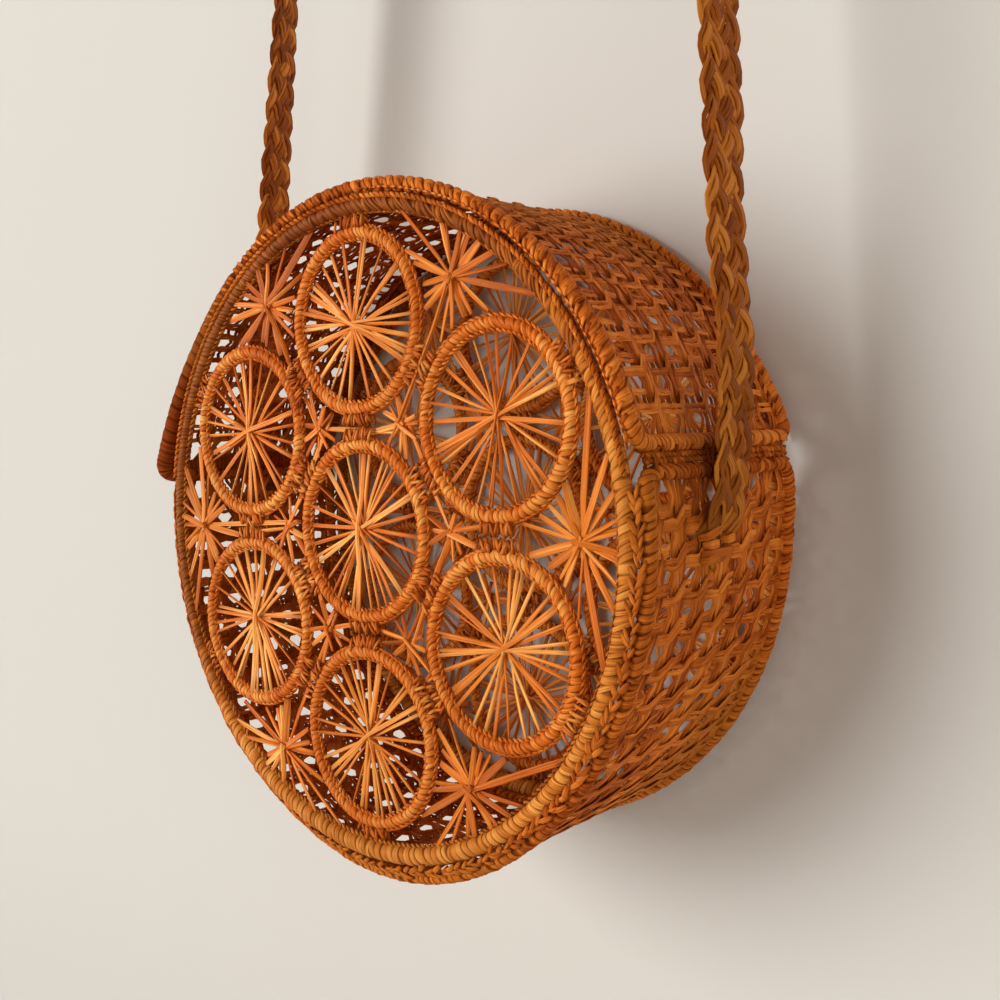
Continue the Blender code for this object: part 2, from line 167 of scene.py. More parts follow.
def addStrands(piece, middles, out, halfWide, halfThick, tint, rng, corners, power, paintedShade=0.0, loop=False):
    # strands along middles[strand, station], flat side to out; the section is |x/wide|^p + |y/thick|^p = 1
    if loop:
        run = unit(np.roll(middles, -1, 1) - np.roll(middles, 1, 1))
    else:
        run = unit(np.gradient(middles, axis=1))
    side = unit(np.cross(run, np.broadcast_to(out, middles.shape)))
    up = np.cross(run, side)
    turn = (arange(corners) + (0.5 if corners == 8 else 0)) * 2 * pi / corners
    x = np.sign(cos(turn)) * abs(cos(turn)) ** (2 / power)
    y = np.sign(sin(turn)) * abs(sin(turn)) ** (2 / power)
    flat = middles.shape[:2]
    wide = np.broadcast_to(halfWide, flat)[..., None] * x
    thick = np.broadcast_to(halfThick, flat)[..., None] * y
    points = middles[:, :, None] + wide[..., None] * side[:, :, None] + thick[..., None] * up[:, :, None]
    steps = np.linalg.norm(np.diff(middles, axis=1, prepend=middles[:, :1]), axis=-1)
    far = np.broadcast_to(np.cumsum(steps, axis=1)[..., None], wide.shape)
    fibre = stack([far, wide, thick], -1) + rng.uniform(0, 1, (len(middles), 1, 1, 3))
    tint = np.broadcast_to(tint, flat)[..., None]
    paintedShade = np.broadcast_to(paintedShade, flat)[..., None]
    addTubes(piece, points, fibre, tint, paintedShade, loop)


def even(share):
    return 1 + 0 * share


# What a wrapped coil has unless its own dictionary says otherwise
plainWraps = Values(
    leanFrom=0, swell=0.05, low=0, widthAt=even, roughAt=even, lowAt=even,
    toneAt=lambda share: 0 * share,
)


def addWraps(piece, path, look, rng):
    # a closed coil under slanted wraps: radius 1 - bulge * rough * |2u - 1|^3, u the share across a wrap,
    # each wrap leaning along the path by slant * sin(turn - leanFrom), with chance ridges
    look = Values(plainWraps, **look)
    count = max(3, round(path.length / look.pitch))
    widths = (1 + look.uneven * rng.uniform(-1, 1, count)) * look.widthAt(arange(count) / count)
    edges = join([[0], np.cumsum(widths)]) / widths.sum() * path.length
    u = array([0, 0.07, 0.2, 0.4, 0.6, 0.8, 0.93])
    at = (edges[:-1, None] + u * np.diff(edges)[:, None]).ravel()
    wrap = np.repeat(arange(count), len(u))
    share = at / path.length
    turn = arange(look.corners) * 2 * pi / look.corners
    dip = abs(2 * np.tile(u, count) - 1) ** 3
    rough = look.roughAt(share)
    size = 1 - look.bulge * rough * dip
    size = size * (1 + look.uneven * 0.22 * rough * rng.uniform(-1, 1, count)[wrap])
    size = size * (1 + 0.022 * rng.uniform(-1, 1, len(at)))
    size = size * (1 + look.swell * wander(rng, share)) * (1 + look.low * look.lowAt(share))
    slant = look.slant * rough * (1 + 0.5 * rng.normal(size=count)[wrap])
    s = at[:, None] + slant[:, None] * sin(turn - look.leanFrom)
    middle, out, side = along(path, s)
    wide, deep = look.half
    points = middle + (wide * size[:, None] * cos(turn))[..., None] * out
    points = points + (deep * size[:, None] * sin(turn))[..., None] * side
    own = rng.uniform(0, 1, (count, 3))[wrap][:, None]
    around = np.broadcast_to(turn * (wide + deep) / 2, s.shape)
    over = np.broadcast_to((at - edges[wrap])[:, None], s.shape)
    fibre = stack([around, over, 0 * s], -1) + own
    low, high = look.tint
    tint = low + (high - low) * (0.5 + 0.3 * wander(rng, share) + 0.35 * rng.uniform(-1, 1, count)[wrap])
    tint = tint + look.toneAt(share)
    # painted shade in the groove between two wraps, strongest at each wrap's edges
    dark = dip**2 + clip(-0.7 * tint, 0, 0.6)  # a tint below 0 is darker than Deep
    addTubes(piece, points[None], fibre[None], tint[None, :, None], dark[None, :, None], True)


def addTwine(piece, path, look, rng):
    # two strands wind round a path, six stations a turn: middle + radius * (cos a * out + sin a * side)
    turns = max(1, round(path.length / look.lay))
    stations = 6 * turns
    share = arange(stations) / stations if path.loop else linspace(0, 1, stations)
    middle, out, side = along(path, share * path.length)
    a = array([[0], [pi]]) + 2 * pi * turns * share
    a = a + 0.5 * wander(rng, share, 9)
    radius = look.radius * (1 + 0.2 * wander(rng, share, 12))
    facing = cos(a)[..., None] * out + sin(a)[..., None] * side
    middles = middle + radius[:, None] * facing
    low, high = look.tint
    knot = rng.uniform(0, 1, (2, turns + 1))
    tint = low + (high - low) * knot[:, np.minimum((share * turns).astype(int), turns)]
    # painted shade over the whole twine, if its look gives an amount
    paintedShade = look.get("paintedShade", 0.0)
    addStrands(piece, middles, facing, *look.half, tint, rng, 6, 2.2, paintedShade, path.loop)


def finishPiece(name, piece, finish, body="bag", nodes=(), crease=None):
    # one mesh from a piece's arrays; edges bent by more than the crease in degrees are sharp
    points = join(piece["points"]).astype(np.float32)
    faces = join(piece["faces"]).astype(np.int32)
    mesh = bpy.data.meshes.new(name)
    mesh.vertices.add(len(points))
    mesh.vertices.foreach_set("co", points.ravel())
    mesh.loops.add(faces.size)
    mesh.loops.foreach_set("vertex_index", faces.ravel())
    mesh.polygons.add(len(faces))
    mesh.polygons.foreach_set("loop_start", arange(0, faces.size, 4, dtype=np.int32))
    mesh.update(calc_edges=True)
    fibre = join(piece["fibre"]).astype(np.float32)
    mesh.attributes.new("fibre", "FLOAT_VECTOR", "POINT").data.foreach_set("vector", fibre.ravel())
    for key in ("tint", "paintedShade"):
        values = clip(join(piece[key]), 0, 1).astype(np.float32)
        mesh.attributes.new(key, "FLOAT", "POINT").data.foreach_set("value", values)
    mesh.shade_smooth()
    if crease:
        mesh.set_sharp_from_angle(angle=radians(crease))
    mesh.materials.append(finishes[finish])
    made = addObject(name, mesh)
    if body:
        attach(made, body)
    if nodes:
        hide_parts(*nodes)
    return made


# Finishes


def newNode(tree, kind):
    return tree.nodes.new("ShaderNode" + kind)


def plug(socket, value):
    # a socket gets three numbers as a colour, one number, or a link from another socket
    if isinstance(value, tuple):
        socket.default_value = (*value, 1)
    elif isinstance(value, (int, float)):
        socket.default_value = value
    else:
        socket.id_data.links.new(value, socket)


def feed(node, **values):
    # a node's named inputs, with an underscore for each space
    for label, value in values.items():
        plug(node.inputs[label.replace("_", " ")], value)


def mathNode(tree, kind, *values, clamp=False):
    node = newNode(tree, "Math")
    node.operation = kind
    node.use_clamp = clamp
    for socket, value in zip(node.inputs, values):
        plug(socket, value)
    return node.outputs[0]


def mixColour(tree, share, first, second, kind="MIX"):
    node = newNode(tree, "Mix")
    node.data_type = "RGBA"
    node.blend_type = kind
    for number, value in ((0, share), (6, first), (7, second)):
        plug(node.inputs[number], value)
    return node.outputs[2]


def noiseNode(tree, vector, scale, detail=2.0, stretch=(1, 1, 1)):
    place = newNode(tree, "Mapping")
    place.inputs["Scale"].default_value = stretch
    noise = newNode(tree, "TexNoise")
    feed(place, Vector=vector)
    feed(noise, Vector=place.outputs["Vector"], Scale=scale, Detail=detail)
    return noise.outputs["Fac"]


def addBump(tree, height, strength, distance):
    bump = newNode(tree, "Bump")
    feed(bump, Height=height, Strength=strength, Distance=distance)
    feed(tree.nodes["Principled BSDF"], Normal=bump.outputs["Normal"])


def strawGroup():
    # dyed palm fibre: streaks along each strand, its own tone, slow patches of weathering, and painted shade
    # where a piece marks a crevice or a strip going under
    tree = bpy.data.node_groups.new("dyed straw", "ShaderNodeTree")
    sockets = [(label, "INPUT", "Color") for label in ("Deep", "Middle", "Pale", "Patch")]
    sockets += [(label, "INPUT", "Float") for label in ("Patch Share", "Dullness", "Contrast")]
    sockets += [("Color", "OUTPUT", "Color"), ("Roughness", "OUTPUT", "Float"), ("Height", "OUTPUT", "Float")]
    for label, way, kind in sockets:
        tree.interface.new_socket(name=label, in_out=way, socket_type="NodeSocket" + kind)
    given = tree.nodes.new("NodeGroupInput").outputs
    made = tree.nodes.new("NodeGroupOutput")
    reads = {}
    for key in ("fibre", "tint", "paintedShade"):
        reads[key] = newNode(tree, "Attribute")
        reads[key].attribute_name = key
    fibre, tint = reads["fibre"].outputs["Vector"], reads["tint"].outputs["Fac"]
    place = newNode(tree, "TexCoord").outputs["Object"]
    fine = noiseNode(tree, fibre, 1.0, 3.0, (60, 3600, 3600))
    broad = noiseNode(tree, fibre, 1.0, 2.0, (30, 1600, 1600))
    patches = noiseNode(tree, place, 26.0)
    blotches = noiseNode(tree, place, 11.0)
    streaks = mathNode(tree, "MULTIPLY_ADD", fine, 0.55, mathNode(tree, "MULTIPLY", broad, 0.45))
    tone = mathNode(tree, "MULTIPLY_ADD", mathNode(tree, "SUBTRACT", streaks, 0.5), given["Contrast"], tint)
    tone = mathNode(tree, "MULTIPLY_ADD", mathNode(tree, "SUBTRACT", patches, 0.5), 0.7, tone, clamp=True)
    lower = mathNode(tree, "MULTIPLY", tone, 2.0, clamp=True)
    upper = mathNode(tree, "MULTIPLY_ADD", tone, 2.0, -1.0, clamp=True)
    colour = mixColour(tree, lower, given["Deep"], given["Middle"])
    colour = mixColour(tree, upper, colour, given["Pale"])
    weathered = mathNode(tree, "MULTIPLY_ADD", blotches, 7.0, -3.4, clamp=True)
    weathered = mathNode(tree, "MULTIPLY", weathered, given["Patch Share"], clamp=True)
    colour = mixColour(tree, weathered, colour, given["Patch"])
    # painted shade: the marked places are darkened towards a warm dark brown
    shadeMix = mathNode(tree, "MULTIPLY", reads["paintedShade"].outputs["Fac"], 0.85, clamp=True)
    colour = mixColour(tree, shadeMix, colour, mixColour(tree, 1.0, colour, (0.24, 0.11, 0.06), "MULTIPLY"))
    rough = mathNode(tree, "MULTIPLY_ADD", streaks, 0.4, given["Dullness"])
    rough = mathNode(tree, "MULTIPLY_ADD", shadeMix, 0.3, rough, clamp=True)
    feed(made, Color=colour, Roughness=rough, Height=streaks)
    return tree


straw = strawGroup()


def palmFinish(name, colours, share, dull, contrast, gloss, bump):
    made = bpy.data.materials.new(name)
    made.use_nodes = True
    tree = made.node_tree
    shader = tree.nodes["Principled BSDF"]
    shared = newNode(tree, "Group")
    shared.node_tree = straw
    for socket, value in zip(shared.inputs, (*colours, share, dull, contrast)):
        plug(socket, value)
    feed(shader, Base_Color=shared.outputs["Color"], Roughness=shared.outputs["Roughness"])
    feed(shader, Specular_IOR_Level=gloss, Specular_Tint=(1.0, 0.55, 0.2))  # it shines in its own colour
    addBump(tree, shared.outputs["Height"], bump, 0.0004)
    return made


# Linear colours Deep, Middle and Pale, which the tones run through, and the weathered Patch
finishColours = {
    "bright palm": ((0.26, 0.04, 0.003), (0.67, 0.135, 0.008), (1.0, 0.5, 0.115), (0.52, 0.125, 0.009)),
    "palm strips": ((0.34, 0.056, 0.004), (0.73, 0.168, 0.016), (1.0, 0.56, 0.16), (0.62, 0.19, 0.018)),
    "rim wrap": ((0.22, 0.042, 0.004), (0.6, 0.175, 0.018), (0.93, 0.43, 0.09), (0.44, 0.15, 0.018)),
    "deep palm": ((0.26, 0.042, 0.005), (0.58, 0.136, 0.015), (0.88, 0.29, 0.048), (0.46, 0.15, 0.018)),
    "braided palm": ((0.17, 0.032, 0.003), (0.37, 0.097, 0.009), (0.66, 0.235, 0.034), (0.32, 0.12, 0.014)),
}
# Patch Share, Dullness and Contrast, then gloss and bump
finishTouch = {
    "bright palm": (0.4, 0.26, 1.7, 0.28, 0.9),
    "palm strips": (0.5, 0.26, 2.8, 0.32, 0.8),
    "rim wrap": (0.4, 0.26, 2.0, 0.25, 0.9),
    "deep palm": (0.6, 0.5, 2.5, 0.1, 0.9),
    "braided palm": (0.6, 0.46, 2.3, 0.12, 0.9),
}
finishes = {name: palmFinish(name, finishColours[name], *finishTouch[name]) for name in finishColours}
print("finishes made")


# Panels: a wrapped rim, seven rings with strips that cross at a hub, and stars of strips between them

ringLook = Values(
    radius=0.0263, half=(0.00185, 0.00175), pitch=0.0018, uneven=0.25, slant=0.0008, bulge=0.12,
    corners=14, leanFrom=-pi / 2, tint=(0.38, 0.78),
    inner=Values(lay=0.0038, radius=0.00048, half=(0.00046, 0.00034), tint=(0.25, 0.65), at=0.0243),
    outer=Values(lay=0.0046, radius=0.00036, half=(0.00046, 0.00034), tint=(0.25, 0.6), at=0.0283),
)

chordLook = Values(
    count=13,
    doubles=0.35,  # share of strips with a second one beside them
    reach=0.025,
    pile=0.003,  # height of the crossing strips at the hub
    half=(0.00047, 0.00072), thick=0.00032, hubShift=0.0018,
)

# Bridging stitches: one number for each of a stitch's four points
stitchLook = Values(
    count=11, fan=0.19, radii=(0.0276, 0.0288, 0.0301, 0.0314), lifts=(0.0013, 0.0014, 0.0012, 0.0006),
    # the third list is painted shade at each point, darker at the ends where the stitch goes under the coils
    leans=(-0.035, -0.012, 0.012, 0.035), grooves=(0.6, 0.2, 0.2, 0.5), half=(0.0005, 0.00036),
)


def ringHubs():
    # the middle hub and six hubs round it, 60 degrees apart from 30 degrees on
    return join([[[0, 0]], drum.ringSpacing * spoke(pi / 6 + arange(6) * pi / 3)])


def leaning(middles, facing, most, rng):
    # each strip's flat side, turned by a chance angle about its run
    lean = rng.normal(0, most, len(middles))[:, None]
    run = unit(middles[:, -1] - middles[:, 0])
    return (cos(lean) * array([0, facing, 0]) + sin(lean) * np.cross(run, [0, 1, 0]))[:, None]


def addChords(piece, hub, depth, facing, rng):
    # strips through the hub: middle + (first end - middle) * s(-t) + (second end - middle) * s(t),
    # s(t) = (t + sqrt(t^2 + 0.004)) / 2 rounding the bend, each strip in its own layer at the hub
    look = chordLook
    count = look.count
    angle = (arange(count) + rng.uniform(-0.3, 0.3, count)) * pi / count + rng.uniform(0, 1)
    double = rng.uniform(0, 1, count) < look.doubles
    angle = join([angle, angle[double] + rng.uniform(0.05, 0.07, double.sum())])
    count = len(angle)
    other = angle + pi + rng.uniform(-0.09, 0.09, count)
    layer = (rng.permutation(count) / (count - 1) - 0.5) * look.pile
    t = array([-1, -0.75, -0.45, -0.2, -0.07, 0.07, 0.2, 0.45, 0.75, 1])
    toFirst = (-t + np.sqrt(t * t + 0.004)) / 2
    toSecond = (t + np.sqrt(t * t + 0.004)) / 2
    shift = rng.uniform(-1, 1, 2) * look.hubShift
    centre = hub + shift + rng.normal(0, 0.00035, (count, 2))
    flat = centre[:, None] + (hub + look.reach * spoke(angle) - centre)[:, None] * toFirst[:, None]
    flat = flat + (hub + look.reach * spoke(other) - centre)[:, None] * toSecond[:, None]
    ends = rng.uniform(-0.001, 0.001, (count, 2))
    lift = layer[:, None] * bell(t, 0, 0.3) + ends[:, :1] * toFirst + ends[:, 1:] * toSecond
    middles = inDrum(flat[..., 0], depth + lift, flat[..., 1])
    wide = rng.uniform(*look.half, count)
    front = layer == (layer.min() if facing < 0 else layer.max())
    wide = np.where(front, wide * 1.35, wide)[:, None] * (1 - 0.25 * bell(t, 0, 0.2))
    out = leaning(middles, facing, 0.45, rng)
    tint = rng.uniform(0.25, 0.85, count)[:, None]
    # painted shade on the strip's ends, where they tuck under the coil
    tucked = clip((abs(t) - 0.86) * 5, 0, 0.7)
    addStrands(piece, middles, out, wide, look.thick, tint, rng, 8, 3.0, tucked)


def addStitches(piece, hub, depth, directions, rng):
    # short stitches from a ring's coil half way to its neighbours, before and behind
    look = stitchLook
    turn = (directions[:, None] + linspace(-look.fan, look.fan, look.count)).ravel()
    turn = join([turn, turn]) + rng.normal(0, 0.02, 2 * len(turn))
    face = np.repeat([-1.0, 1.0], len(turn) // 2)[:, None]
    radius = array(look.radii) + rng.normal(0, 0.0004, (len(turn), 1))
    lift = face * array(look.lifts) * rng.uniform(0.6, 1.1, (len(turn), 1))
    lean = turn[:, None] + array(look.leans) * rng.uniform(-1.0, 1.0, (len(turn), 1))
    flat = hub + radius[..., None] * spoke(lean)
    middles = inDrum(flat[..., 0], depth + lift, flat[..., 1])
    out = face[..., None] * array([0, 1.0, 0])
    tint = rng.uniform(0.15, 0.8, (len(turn), 1))
    addStrands(piece, middles, out, *look.half, tint, rng, 6, 2.2, look.grooves)


def makeRing(side, place, hub, depth, facing, seed):
    rng = default_rng(seed)
    piece = newPiece()
    addWraps(piece, circlePath(hub, ringLook.radius, depth), ringLook, rng)
    for key in ("inner", "outer"):
        addTwine(piece, circlePath(hub, ringLook[key].at, depth), ringLook[key], rng)
    if place == 0:
        directions = pi / 6 + arange(6) * pi / 3
    else:
        own = pi / 6 + (place - 1) * pi / 3
        directions = own + array([0, pi, 2 * pi / 3, -2 * pi / 3])
    addStitches(piece, hub, depth, directions, rng)
    word = place or "middle"
    finishPiece(f"{side}_ring_{word}", piece, "bright palm", nodes=[f"{side}_rosette_{word}"])
    spokes = newPiece()
    addChords(spokes, hub, depth, facing, rng)
    finishPiece(f"{side}_ring_{word}_strips", spokes, "palm strips", crease=50)


starLook = Values(
    outer=Values(strips=20, radius=0.0832, half=(0.00065, 0.0013), pile=0.0032),
    inner=Values(strips=11, radius=0.03655, half=(0.00055, 0.00095), pile=0.0022),
    ringEdge=0.0296, rimEdge=0.0957,
    over=0.0016,  # how far each strip begins on the other side of its hub
    thick=0.00034,
)


def starReach(origin, direction):
    # how far a strip runs before it meets a ring or the rim, by the circle's formula
    offset = ringHubs()[None] - origin
    ahead = np.einsum("nij,nj->ni", np.broadcast_to(offset, (len(direction), 7, 2)), direction)
    aside = (offset**2).sum(-1) - ahead**2
    inside = starLook.ringEdge**2 - aside
    toRing = np.where((ahead > 0) & (inside > 0), ahead - np.sqrt(np.maximum(inside, 0)), 9.0).min(1)
    start = direction @ origin
    toRim = np.sqrt(starLook.rimEdge**2 - origin @ origin + start**2) - start
    return np.minimum(toRing, toRim)


def makeStar(side, kind, number, depth, facing, seed):
    # strips from a hub to what surrounds it, each a straight line from just past the hub in its own layer
    rng = default_rng(seed)
    look = starLook[kind]
    spot = (number - 1) * pi / 3
    origin = look.radius * array([math.cos(spot), math.sin(spot)]) + rng.normal(0, 0.0005, 2)
    count = look.strips
    angle = (arange(count) + rng.uniform(-0.32, 0.32, count)) * 2 * pi / count + rng.uniform(0, 1)
    direction = spoke(angle)
    run = starReach(origin, direction)
    t = array([0, 0.08, 0.3, 0.6, 0.85, 1.0])
    begin = origin - starLook.over * direction + rng.normal(0, 0.0003, (count, 2))
    flat = begin[:, None] + (run + starLook.over)[:, None, None] * t[:, None] * direction[:, None]
    layer = (rng.permutation(count) / (count - 1) - 0.5) * look.pile
    far = rng.uniform(-0.0011, 0.0011, count)
    lift = layer[:, None] * bell(t * run[:, None], 0, 0.006) + far[:, None] * t
    middles = inDrum(flat[..., 0], depth + lift, flat[..., 1])
    wide = rng.uniform(*look.half, count)[:, None] * array([0.5, 0.72, 1, 1.05, 0.95, 0.8])
    out = leaning(middles, facing, 0.4, rng)
    tint = rng.uniform(0.08, 0.66, count)[:, None] + rng.uniform(-0.2, 0.2)
    piece = newPiece()
    # painted shade at the hub end, and more where the strip runs under a ring or the rim
    addStrands(piece, middles, out, wide, starLook.thick, tint, rng, 8, 3.0, [0.2, 0, 0, 0, 0.1, 0.5])
    node = f"{side}_{kind}_star_{number}"
    finishPiece(node + "_strips", piece, "palm strips", nodes=[node], crease=50)


rimLook = Values(
    half=(0.0024, 0.0023), pitch=0.002, uneven=0.4, slant=0.0015, bulge=0.12, corners=16,
    tint=(0.3, 0.95), swell=0.04,
    low=0.2,  # how much thicker the rim is at the bottom; it is thinner on the left
    lowAt=lambda share: 1.2 * bell(share, 0.72, 0.1) - 0.5 * bell(share, 0.45, 0.13, 4),
    roughAt=lambda share: 0.6 + 0.8 * bell(share, 0.16, 0.11, 4),
    widthAt=lambda share: 1 - 0.42 * bell(share, 0.46, 0.13, 4),
    toneAt=lambda share: -0.85 * bell(share, 0.38, 0.19, 4) - 0.5 * bell(share, 0.13, 0.09, 4),
    drop=0.0005,  # of the rim's middle under the panel's
)
rimTwine = Values(lay=0.0042, radius=0.0005, half=(0.00052, 0.00038), tint=(0.0, 0.5), at=0.0952)


def makeRim(side, depth, facing, seed):
    rng = default_rng(seed)
    piece = newPiece()
    look = Values(rimLook, leanFrom=facing * pi / 2)
    addWraps(piece, circlePath((0, -look.drop), drum.rimRadius, depth), look, rng)
    addTwine(piece, circlePath((0, 0), rimTwine.at, depth), rimTwine, rng)
    finishPiece(f"{side}_rim_wrap", piece, "rim wrap", nodes=[f"{side}_rim"])


for side, facing, seed in (("front", -1, 100), ("back", 1, 200)):
    depth = facing * drum.halfDepth
    makeRim(side, depth, facing, seed)
    for place, hub in enumerate(ringHubs()):
        makeRing(side, place, hub, depth, facing, seed + 1 + place)
    for number in range(1, 7):
        makeStar(side, "outer", number, depth, facing, seed + 20 + number)
        makeStar(side, "inner", number, depth, facing, seed + 30 + number)
print("panels made")


# Side wall: openwork between two wrapped coils, and the coils across its two ends

coilLook = Values(
    half=(0.0022, 0.0021), pitch=0.0018, uneven=0.35, slant=0.0012, bulge=0.15, corners=12,
    tint=(0.15, 0.8),
    corner=0.0042,  # radius of the border's round corners
)

weaveLook = Values(
    rows=35, columns=6,
    span=radians(196),  # how far round the net reaches
    slope=-1,  # hand of the wefts' zigzag
    inset=0.0026,  # from the edge coil's middle to the net's edge
    warpHalf=(0.0006, 0.00082), warpThick=0.00019,
    waist=0.225,  # reach of a bundle half way between two wefts, as a share of the column
    spread=0.235,  # how much further it reaches at a weft
    stray=0.11,  # how far a strip strays, as a share of the bundle
    open=0.35,  # how much closer the bundles are at the last row
    weftHalf=0.001, weftApart=0.0008, weftThick=0.0002, lift=0.00068,
    dive=1,  # how steeply a weft goes down beside a bundle
    sway=0.0017, steep=2.8, samples=6,
)


def hingeSwell(angle, depth):
    # the back end of the hinge stands out: 2.2 mm * bell(angle, 13 degrees, 12 degrees) * back^2
    back = clip(0.5 + depth / (2 * drum.wallEdge), 0, 1)
    return 0.0022 * bell(angle, 0.23, 0.21) * back**2


def wallSag(angle, depth):
    # the front edge hangs lower at the bottom: 2.8 mm * bell(angle, -83 degrees, 29 degrees) * front^2
    front = clip(0.5 - depth / (2 * drum.wallEdge), 0, 1)
    return 0.0028 * bell(angle, -1.45, 0.5) * front**2 + hingeSwell(angle, depth)


def wallPlace(angle, depth, lift=0.0):
    # the drum's round wall: radius + lift + sag
    return onRound(drum.wallRadius + lift + wallSag(angle, depth), angle, depth)


def lidPlace(angle, depth, lift=0.0):
    # the lid's round band; its corners flare by 9 mm * corner * bend and dip by 4 degrees * corner * bend:
    # corner = |depth / edge|^3, bend = the square of the share of the way from 136 degrees to the free end
    corner = abs(depth / drum.lidEdge) ** 3
    start = radians(136)
    bend = clip((angle - start) / (drum.lidFreeAngle - start), 0, None) ** 2
    radius = drum.lidRadius + 0.009 * corner * bend + hingeSwell(angle, depth)
    return onRound(radius + lift, angle + radians(4) * corner * bend, depth)


def addWeave(piece, place, first, last, arc, edge, look, rng):
    # warps: bundles of six strips spread evenly over +-(waist + spread * |cos(pi * row)|^1.5) of a column,
    # the waist less by open * share^2
    # wefts: pairs of two strips each that twine across the depth, lift * (cos(pi * column)^dive + 0.2) high
    # and aside by sway * clip(steep * w, -1, 1), w the triangle wave with the zeros of sin(pi * column)
    rows, columns = look.rows, look.columns
    column = 2 * edge / columns
    row = arange(rows * look.samples + 1) / look.samples
    bound = abs(cos(pi * row)) ** 1.5
    fan = array([-1.0, -0.6, -0.2, 0.2, 0.6, 1.0])
    centres = -edge + column * arange(1, columns)

    def stray(count, most):
        # straight from weft to weft, with a chance step at each
        steps = rng.uniform(-most, most, (count, rows + 1))
        return stack([np.interp(row, arange(rows + 1), line) for line in steps])

    gather = look.waist * (1 - look.open * (row / rows) ** 2)
    reach = gather + (look.waist + look.spread - gather) * bound
    offsets = (fan[:, None] + stray(len(fan), look.stray)) * reach
    depth = join([centre + column * (offsets + stray(len(fan), 0.02)) for centre in centres])
    rimmed = array([0.02, 0.1, 0.18])[:, None] + 0.13 * bound
    depth = join([depth, -edge + column * rimmed, edge - column * rimmed])
    lift = stray(len(depth), 0.00022) + rng.uniform(-0.0002, 0.0002, (len(depth), 1))
    share = np.broadcast_to(row / rows, depth.shape)
    middles, out = place(first + (last - first) * share, depth, lift)
    wide = rng.uniform(*look.warpHalf, len(depth))[:, None]
    tint = rng.uniform(0.1, 0.75, len(depth))[:, None] + stray(len(depth), 0.2)
    # painted shade on the warps where the wefts cross over them
    addStrands(piece, middles, out, wide, look.warpThick, tint, rng, 6, 5.0, 0.8 * bound**4)

    kink = 0.5 / look.steep
    across = (arange(columns)[:, None] + [0, kink, 0.33, 0.5, 0.67, 1 - kink]).ravel()
    across = join([[-0.14], across, [columns, columns + 0.14]])
    number = np.repeat(arange(1, rows), 4)
    sign = np.tile([1.0, 1.0, -1.0, -1.0], rows - 1)[:, None]
    beside = np.tile([-1.0, 1.0], 2 * (rows - 1))[:, None]
    drift = rng.normal(0, 0.05, (rows - 1, 1)) * cos(across / 2 + rng.uniform(0, 6, (rows - 1, 1)))
    wave = 2 * abs(np.mod(clip(across, 0.5, columns - 0.5) - 0.5, 2) - 1) - 1
    cosine = cos(pi * across)
    height = sign * np.sign(cosine) * abs(cosine) ** look.dive + 0.2
    height = look.lift * height * clip(2.5 * np.minimum(across, columns - across), 0, 1)
    height = height + rng.normal(0, 0.00005, (len(number), len(across)))
    strength = rng.uniform(0.75, 1.2, (len(number), 1))
    aside = look.slope * sign * look.sway * strength * clip(look.steep * wave, -1, 1)
    aside = aside + beside * look.weftApart + rng.normal(0, 0.00016, height.shape)
    share = (number[:, None] + np.repeat(drift, 4, 0)) / rows + aside / arc
    middles, out = place(first + (last - first) * share, -edge + column * across + 0 * share, height)
    wide = look.weftHalf * rng.uniform(0.75, 1.2, (len(number), 1)) * (0.92 + 0.12 * cos(2 * pi * across))
    tint = rng.uniform(0.25, 0.8, (len(number), 1)) + 0.1 * rng.normal(size=share.shape)
    # painted shade where a weft goes down beside a bundle
    sunk = clip(-0.8 * height / look.lift, 0, 0.6)
    addStrands(piece, middles, out, wide, look.weftThick, tint, rng, 6, 5.0, sunk)


def borderPath(first, last, radius, edge, corner, place):
    # a rectangle with round corners, arc along u and depth along y, carried onto the round wall or lid
    length = abs(last - first) * radius
    quarter = linspace(0, pi / 2, 12)[1:-1]
    arc = linspace(corner, length - corner, 300)
    side = linspace(corner - edge, edge - corner, 60)
    sides = [(arc, 0 * arc - edge), (length + 0 * side, side)]
    sides += [(arc[::-1], 0 * arc + edge), (0 * side, side[::-1])]
    high, right = edge - corner, length - corner
    u, y = [], []
    for k, (middleU, middleY) in enumerate([(right, -high), (right, high), (corner, high), (corner, -high)]):
        angle = (k - 1) * pi / 2 + quarter
        u += [sides[k][0], middleU + corner * cos(angle)]
        y += [sides[k][1], middleY + corner * sin(angle)]
    u, y = join([*u, [corner]]), join([*y, [-edge]])
    points, out = place(first + math.copysign(1, last - first) * u / radius, y)
    return makePath(points, out, True)


def makeBand(names, nodes, body, place, ends, radius, edge, weave, coil, slot, seed):
    # an openwork band that begins and stops inside its border, and the border's wrapped coil
    rng = default_rng(seed)
    net, border = newPiece(), newPiece()
    seat = math.copysign((drum.coilRadius - drum.coilSeat) / radius, ends[1] - ends[0])
    addWeave(net, place, ends[0] + seat, ends[1] - seat, radius * weave.span, edge - weave.inset, weave, rng)
    finishPiece(names[0], net, "deep palm", body, nodes[:1], 50)
    addWraps(border, borderPath(*ends, radius, edge, coil.corner, place), coil, rng)
    finishPiece(names[1], border, "deep palm", body, nodes[1:])
    return rng


names = ("side_wall_weave", "wall_border_wrap")
nodes = ["side_wall", "wall_front_coil", "wall_back_coil", "hinge_coil", "mouth_coil"]
wallEnds = (drum.mouthAngle, -pi - drum.mouthAngle)
size = (drum.wallRadius, drum.wallEdge)
makeBand(names, nodes, "bag", wallPlace, wallEnds, *size, weaveLook, coilLook, None, 300)


# Herringbone stitch over the seam between each rim and the wall's edge coil

seamLook = Values(
    radius=0.10085, depth=0.0379,
    inset=0.02,  # angle that it goes on past the mouth's ends
    lean=1.0787,  # from the radial direction towards the front
    pitch=0.00155, length=0.0046, reach=0.0021, half=0.00064, thick=0.00034,
)
shoulderLook = Values(lay=0.0044, radius=0.0005, half=(0.00065, 0.00042), tint=(0.1, 0.7))


